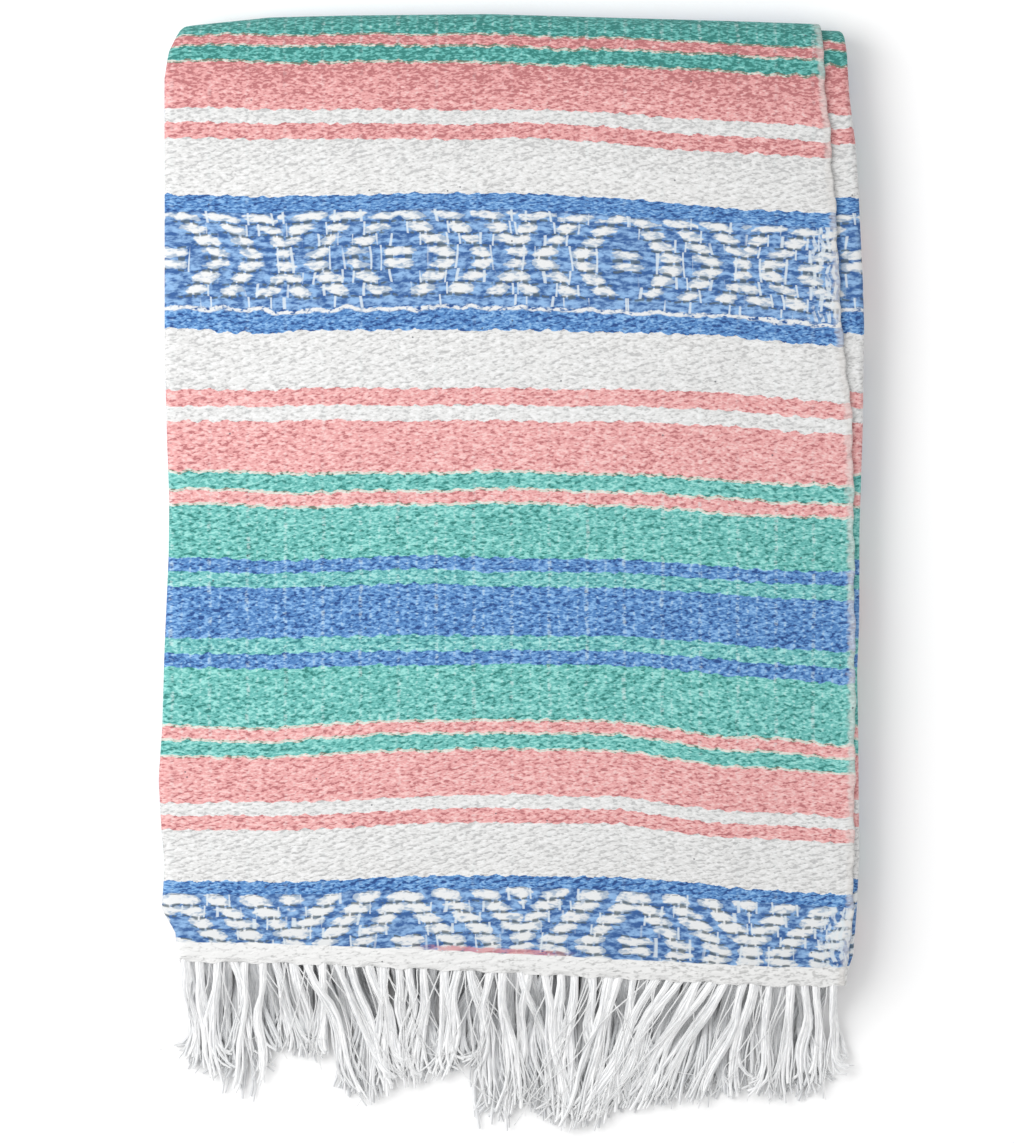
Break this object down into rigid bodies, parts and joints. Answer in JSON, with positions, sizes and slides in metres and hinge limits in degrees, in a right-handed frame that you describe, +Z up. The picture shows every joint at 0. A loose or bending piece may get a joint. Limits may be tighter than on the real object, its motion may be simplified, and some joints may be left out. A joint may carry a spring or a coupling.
{
  "type": "folded mexican blanket",
  "caption": "Woven striped blanket, folded in thirds both ways into a flat pile, with loose warp fringe at the end that shows.",
  "frame": {"origin": "centre of the bounding box at the surface that the pile rests on", "axes": "+Z up from the resting surface, +Y along the folded length towards the top fold, +X across the stripes' width towards the selvage side"},
  "size_m": [0.4414, 0.7089, 0.0409],
  "materials": {
    "striped_cloth": "coarse twill of spun recycled cotton yarn in coral, mint, blue and white stripes, dry and slightly fuzzy",
    "white_yarn": "loose white cotton warp yarn, dry"
  },
  "bodies": {
    "root": {"front_leaf": "striped_cloth", "back_leaf": "striped_cloth", "right_fold": "striped_cloth", "hidden_plies": "striped_cloth", "front_fringe": "white_yarn", "second_fringe": "white_yarn", "third_fringe": "white_yarn"}
  },
  "joints": []
}
